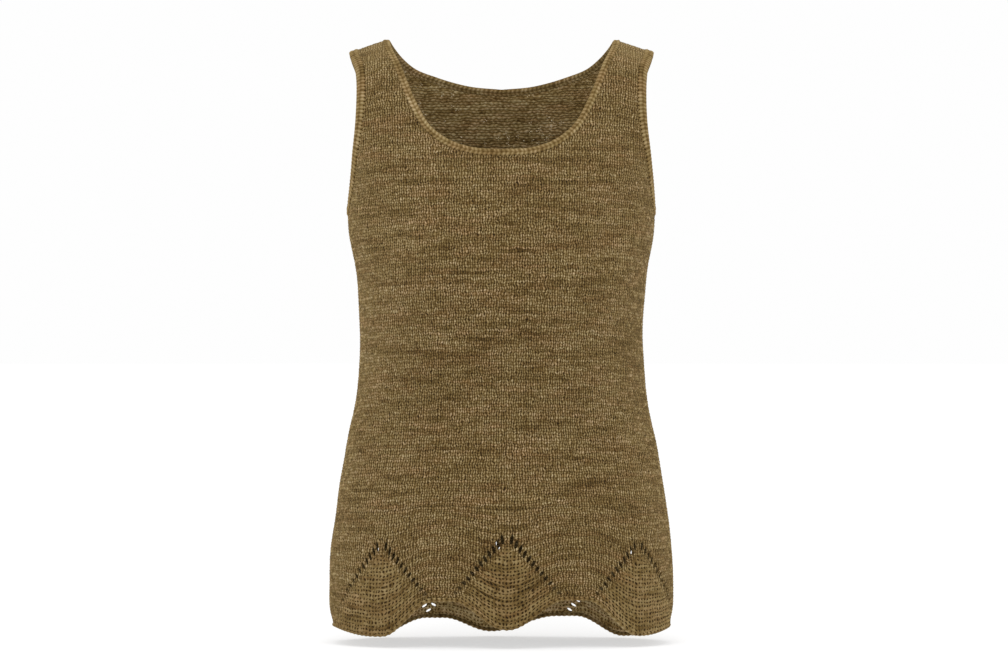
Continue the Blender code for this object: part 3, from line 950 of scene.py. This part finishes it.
panelLook = {
    "unevenAcross": 1.0,
    "unevenDown": 1.8,
    "pitPaintedShade": 0.02,  # painted shade: the dark dots between stitches, against the yarn
    # painted shade in the lines between the legs, and how much the painted shade of one pit differs
    # from the next
    "linePaintedShade": 0.18,
    "pitSpread": 0.20,
    "legPaintedShade": 0.64,  # painted shade: how light a leg is painted at its ends, and how much lighter it is painted halfway
    "legRise": 0.50,
    "stitchSpread": 0.74,  # how much one stitch differs from the next
    # painted shade in the pits between purl bumps, and how light the bumps are painted
    "purlPitPaintedShade": 0.08,
    "purlLight": 0.68,
    "pitBase": 0.50,
    "pitChance": 0.30,
    "dashAcross": 0.26,
    "dashDown": -0.36,
    # painted shade in the pits between the dashes on the wrong side
    "insidePitPaintedShade": 0.34,
    # painted light and shade on the wrong side: how much lighter or darker it is painted at the hem,
    # above it, at the chest and at the neck, and where each goes over
    "insidePaintedLight": (1.65, 0.45, 0.90, 1.24),
    "insideLevels": ((-0.626, -0.602), (-0.22, -0.15), (-0.13, -0.02)),
    "bump": 0.0009,
    "fleckBump": 0.3,
    "speckShare": 0.045,
    "speckPower": 2.0,
    "speckAbove": -0.17,
    "speckDot": (-3.0, -0.9),  # how sharp each dot is, and how small
    "speckColour": (0.62, 0.52, 0.36),
}

# the last number of a draw, so that no two kinds of draw are alike
draws = {"tone": 0.0, "bump": 3.0, "pit": 5.0, "speck": 11.0}


def marl(tree, place, u, v):
    # the marled yarn changes shade along each row
    row = calc(tree, "FLOOR", v)
    bandRow = calc(tree, "FLOOR", times(tree, v, 1 / yarn["bandRows"]))
    flecks = pattern(tree, "flecks", u, v)
    larger = tree.nodes.new("ShaderNodeVectorMath")
    larger.operation = "SCALE"
    larger.inputs["Scale"].default_value = yarn["clouds"][0]
    tree.links.new(place, larger.inputs[0])
    clouds = noise(tree, larger.outputs[0], *yarn["clouds"][1:])
    parts = (pattern(tree, "streaks", u, row), pattern(tree, "bands", u, bandRow), flecks, clouds)
    shade = 0.0
    for part, weight in zip(parts, yarn["weights"]):
        shade = calc(tree, "MULTIPLY_ADD", part, weight, shade)
    dips, patches = pattern(tree, "dips", u, row), pattern(tree, "patches", u, v)
    hue = mixed(tree, yarn["patchShare"], dips, patches)
    greys = [(at, (grey,) * 3) for at, grey in yarn["shades"]]
    return ramp(tree, shade, greys), ramp(tree, hue, yarn["hues"]), flecks, clouds


def dyed(tree, brightness, hue):
    parts = [brightness]
    for share, power in (yarn["green"], yarn["blue"]):
        parts.append(times(tree, calc(tree, "POWER", brightness, power), share))
    return tinted(tree, vectorOf(tree, *parts), hue)


def toneOf(tree, spread, *stitchNumber):
    # most stitches are alike and a few are much darker, and their mean is 1
    draw = calc(tree, "POWER", chance(tree, *stitchNumber, draws["tone"]), yarn["tonePower"])
    mean = 1 / (1 + yarn["tonePower"])
    return mixed(tree, draw, 1 - spread * mean, 1 + spread * (1 - mean))


def knitShader(name):
    material = bpy.data.materials.new(name)
    material.use_nodes = True
    tree = material.node_tree
    uv = tree.nodes.new("ShaderNodeUVMap")
    uv.uv_map = "stitchMap"
    split = tree.nodes.new("ShaderNodeSeparateXYZ")
    tree.links.new(uv.outputs["UV"], split.inputs[0])
    return material, tree, split.outputs[0], split.outputs[1]


def finishKnit(tree, look, colour, height, flecks):
    shader = tree.nodes["Principled BSDF"]
    tree.links.new(colour, shader.inputs["Base Color"])
    bump = tree.nodes.new("ShaderNodeBump")
    setInputs(bump, {"Strength": yarn["bumpStrength"], "Distance": look["bump"]})
    height = calc(tree, "MULTIPLY_ADD", flecks, look["fleckBump"], height)
    tree.links.new(height, bump.inputs["Height"])
    tree.links.new(bump.outputs["Normal"], shader.inputs["Normal"])
    setInputs(shader, {
        "Roughness": yarn["roughness"],
        "Sheen Weight": yarn["sheen"],
        "Sheen Roughness": yarn["sheenRoughness"],
        "Sheen Tint": (*yarn["sheenTint"], 1),
        "Specular IOR Level": yarn["specular"],
    })


def panelMaterial():
    look = panelLook
    material, tree, evenU, evenV = knitShader("panelKnit")
    sway = pattern(tree, "sway", evenU, evenV)
    rise = pattern(tree, "rise", evenU, evenV)
    u = calc(tree, "MULTIPLY_ADD", calc(tree, "SUBTRACT", sway, 0.5), look["unevenAcross"], evenU)
    v = calc(tree, "MULTIPLY_ADD", calc(tree, "SUBTRACT", rise, 0.5), look["unevenDown"], evenV)
    purl = tree.nodes.new("ShaderNodeAttribute")
    purl.attribute_name = "purl"
    purlShare = calc(tree, "MULTIPLY", purl.outputs["Fac"], 1.0, clamp=True)
    inside = calc(tree, "SUBTRACT", purl.outputs["Fac"], 1.0, clamp=True)

    # plain side: the legs of the V, with painted shade in the pits between the rows, in the lines
    # between the legs and at the ends of each leg
    middle = calc(tree, "ABSOLUTE", calc(tree, "SUBTRACT", calc(tree, "FRACT", u), 0.5))
    rowShare = calc(tree, "FRACT", v)
    spread = calc(tree, "MULTIPLY_ADD", rowShare, stitchLook["vSpread"], stitchLook["vFoot"])
    off =calc(tree, "DIVIDE", calc(tree, "SUBTRACT", middle, spread), stitchLook["legWidth"])
    leg = calc(tree, "SUBTRACT", 1.0, calc(tree, "MULTIPLY", off, off), clamp=True)
    rowWave = calc(tree, "COSINE", times(tree, v, 2 * pi))
    rowMiddle = calc(tree, "MULTIPLY_ADD", rowWave, -0.5, 0.5)
    halfWales = times(tree, u, 2.0)
    stitchNumber = (calc(tree, "FLOOR", halfWales), calc(tree, "FLOOR", v))
    pitNumber = (calc(tree, "ROUND", halfWales), calc(tree, "ROUND", v))
    stitchTone = toneOf(tree, look["stitchSpread"], *stitchNumber)
    pitDraw = chance(tree, *pitNumber, draws["pit"])
    # painted shade in the valleys between the legs, darkest at the pits between the rows
    valley = mixed(tree, rowMiddle, look["pitPaintedShade"], look["linePaintedShade"])
    valley = calc(tree, "MULTIPLY_ADD", pitDraw, look["pitSpread"], valley)
    legPaintedShade = calc(tree, "MULTIPLY_ADD", rowMiddle, look["legRise"], look["legPaintedShade"])
    plainShade = mixed(tree, leg, valley, times(tree, legPaintedShade, stitchTone))

    # purl side: bumps that meet, with painted shade in the pits between them
    waleWave = calc(tree, "COSINE", times(tree, u, 2 * pi / stitchLook["bumpWales"]))
    bumpWave = calc(tree, "COSINE", times(tree, v, 2 * pi / stitchLook["bumpRows"]))
    waves = times(tree, calc(tree, "ADD", waleWave, bumpWave), 0.5)
    bumpDraw = chance(tree, *pitNumber, draws["bump"])
    base = calc(tree, "MULTIPLY_ADD", bumpDraw, look["pitChance"], look["pitBase"])
    raised =calc(tree, "DIVIDE", calc(tree, "ADD", waves, base), stitchLook["bumpSoft"], clamp=True)
    purlShade = mixed(tree, raised, look["purlPitPaintedShade"], look["purlLight"])

    # wrong side: rows of short dashes, laid like bricks, with painted shade between them, and the same
    # bumps as outside in the lace
    brick = calc(tree, "MULTIPLY_ADD", calc(tree, "FLOOR", v), pi, times(tree, u, 2 * pi))
    brick = calc(tree, "COSINE", brick)
    dash = calc(tree, "MULTIPLY_ADD", brick, look["dashAcross"], 0.5)
    dash = calc(tree, "MULTIPLY_ADD", rowWave, look["dashDown"], dash, clamp=True)
    place = tree.nodes.new("ShaderNodeTexCoord").outputs["Object"]
    split = tree.nodes.new("ShaderNodeSeparateXYZ")
    tree.links.new(place, split.inputs[0])
    level = split.outputs[2]
    dash = mixed(tree, stretch(tree, level, *look["insideLevels"][0]), raised, dash)
    insideShade = mixed(tree, dash, look["insidePitPaintedShade"], 1.0)
    raised = mixed(tree, inside, raised, dash)
    purlShade = times(tree, mixed(tree, inside, purlShade, insideShade), stitchTone)

    shade = mixed(tree, purlShare, plainShade, purlShade)
    brightness, hue, flecks, clouds = marl(tree, place, u, v)
    # painted light and shade on the wrong side, lighter or darker by height
    light = look["insidePaintedLight"][0]
    for (low, high), upper in zip(look["insideLevels"], look["insidePaintedLight"][1:]):
        light = mixed(tree, stretch(tree, level, low, high), light, upper)
    colour = dyed(tree, times(tree, brightness, shade), hue)
    colour = tinted(tree, colour, mixed(tree, inside, 1.0, light))

    # daylight through the gaps between stitches, seen on the wrong side at the neck
    high = calc(tree, "GREATER_THAN", level, look["speckAbove"])
    often = calc(tree, "POWER", clouds, look["speckPower"])
    often = times(tree, often, (1 + look["speckPower"]) * look["speckShare"])
    lucky = calc(tree, "LESS_THAN", chance(tree, *stitchNumber, draws["speck"]), often)
    speck = times(tree, times(tree, lucky, high), inside)
    dashWave = times(tree, brick, rowWave)
    dot = calc(tree, "MULTIPLY_ADD", dashWave, *look["speckDot"], clamp=True)
    daylight = tree.nodes.new("ShaderNodeMix")
    daylight.data_type = "RGBA"
    tree.links.new(times(tree, speck, dot), daylight.inputs[0])
    tree.links.new(colour, daylight.inputs[6])
    daylight.inputs[7].default_value = (*look["speckColour"], 1)

    finishKnit(tree, look, daylight.outputs[2], mixed(tree, purlShare, leg, raised), flecks)
    return material


edgingLook = {
    # painted shade in the groove between the chains and in the gaps between stitches
    "groovePaintedShade": 0.58,
    "gapPaintedShade": 0.52,
    "stitchSpread": 0.60,  # how much one stitch differs from the next
    "light": 1.02,
    "seamFrom": 1.72,  # lanes from the free edge where the picked-up stitches begin
    # painted shade in the pits where the stitches are picked up
    "seamPitPaintedShade": 0.25,
    "pitDot": (-2.0, -0.6),
    "strandFoot": 0.4,
    "bump": 0.0006,
    "fleckBump": 0.25,
}


def edgingMaterial():
    # two chains of stitches side by side along the edge, with painted shade in the groove between them
    # and in the gaps between stitches, and a dark pit of painted shade where each is picked up
    look = edgingLook
    material, tree, u, lane = knitShader("bandKnit")
    across = calc(tree, "SUBTRACT", calc(tree, "FRACT", lane), 0.5)
    ridge = calc(tree, "ABSOLUTE", calc(tree, "SINE", times(tree, lane, pi)))
    laneNumber = calc(tree, "FLOOR", lane)
    turned = calc(tree, "MULTIPLY_ADD", calc(tree, "MODULO", laneNumber, 2.0), -2.0, 1.0)
    lean = times(tree, times(tree, across, turned), bandLook["slant"])
    along = calc(tree, "ADD", u, lean)
    wave = calc(tree, "COSINE", times(tree, along, 2 * pi))
    strand = calc(tree, "MULTIPLY_ADD", wave, 0.5, 0.5)
    stitchTone = toneOf(tree, look["stitchSpread"], calc(tree, "FLOOR", along), laneNumber)
    # painted shade in the groove and in the gaps between stitches
    groove = mixed(tree, ridge, look["groovePaintedShade"], 1.0)
    gap = mixed(tree, strand, look["gapPaintedShade"], 1.0)
    shade = times(tree, times(tree, groove, gap), stitchTone)
    atSeam = calc(tree, "GREATER_THAN", lane, look["seamFrom"])
    pit = calc(tree, "MULTIPLY_ADD", wave, *look["pitDot"], clamp=True)
    picked = mixed(tree, times(tree, atSeam, pit), 1.0, look["seamPitPaintedShade"])
    shade = times(tree, times(tree, shade, picked), look["light"])
    place = tree.nodes.new("ShaderNodeTexCoord").outputs["Object"]
    brightness, hue, flecks, _ = marl(tree, place, u, lane)
    colour = dyed(tree, times(tree, brightness, shade), hue)
    height = times(tree, ridge, mixed(tree, strand, look["strandFoot"], 1.0))
    finishKnit(tree, look, colour, height, flecks)
    return material


panelKnit = panelMaterial()
bandKnit = edgingMaterial()
print("materials made")

castOn = hemPiece("castOnEdge", bandKnit)
neckBand, _ = bandPiece("neckBand", neckLine, False, 1, bandLook["widths"]["neck"], bandKnit)
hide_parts("neck_band")
for side in (front, back):
    body, bodyCut = bodyPanel(side + "Body", side, panelKnit)
    laceHem, laceCut = lacePanel(side + "Lace", side, panelKnit)
    declareCut(body, bodyCut)
    declareCut(laceHem, laceCut)

armBands = [("armBandRight", "armhole_band_right", 1), ("armBandLeft", "armhole_band_left", -1)]
for name, node, mirror in armBands:
    armBand, armLength = bandPiece(name, armholeLine, True, mirror, bandLook["widths"]["arm"], bandKnit)
    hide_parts(node)
    armWidth = bandLook["widths"]["arm"] + bandLook["overlap"]
    declareCut(armBand, (armLength, armWidth, armLength * armWidth))

stage = {
    "floorZ": -0.6630,
    "radius": 50.0,
    "sides": 64,
    "colour": 0.45,
    "glow": 0.58,
    "skyStrength": 0.99,
}


def makeStage():
    # a white floor out to a white horizon, so the garment stands on white from any side
    bm = bmesh.new()
    bmesh.ops.create_circle(bm, cap_ends=True, segments=stage["sides"], radius=stage["radius"])
    bmesh.ops.translate(bm, verts=bm.verts[:], vec=(0, 0, stage["floorZ"]))
    mesh = meshFrom("whiteFloor", bm)
    floor = placed("whiteFloor", mesh)
    paper = bpy.data.materials.new("whitePaper")
    paper.use_nodes = True
    white = (1, 1, 1, 1)
    setInputs(paper.node_tree.nodes["Principled BSDF"], {
        "Base Color": (stage["colour"],) * 3 + (1,),
        "Roughness": 1.0,
        "Specular IOR Level": 0.0,
        "Emission Color": white,
        "Emission Strength": stage["glow"],
    })
    mesh.materials.append(paper)
    world = bpy.data.worlds.new("studio")
    world.use_nodes = True
    background = world.node_tree.nodes["Background"]
    setInputs(background, {"Color": white, "Strength": stage["skyStrength"]})
    bpy.context.scene.world = world
    bpy.context.scene.view_settings.view_transform = "Standard"


# each light's name, place, size and power
lights = [
    ("keyLight", (-0.15, -2.6, 2.6), 2.0, 58),
    ("fillLight", (0.0, -3.6, -0.50), 1.4, 22),
]
litPlace = (0, 0, -0.35)


def addLight(name, place, size, power):
    data = bpy.data.lights.new(name, "AREA")
    data.shape = "SQUARE"
    data.size = size
    data.energy = power
    light = placed(name, data)
    light.location = place
    light.rotation_euler = (Vector(litPlace) - Vector(place)).to_track_quat("-Z", "Y").to_euler()


makeStage()
for light in lights:
    addLight(*light)
print("stage and lights placed")
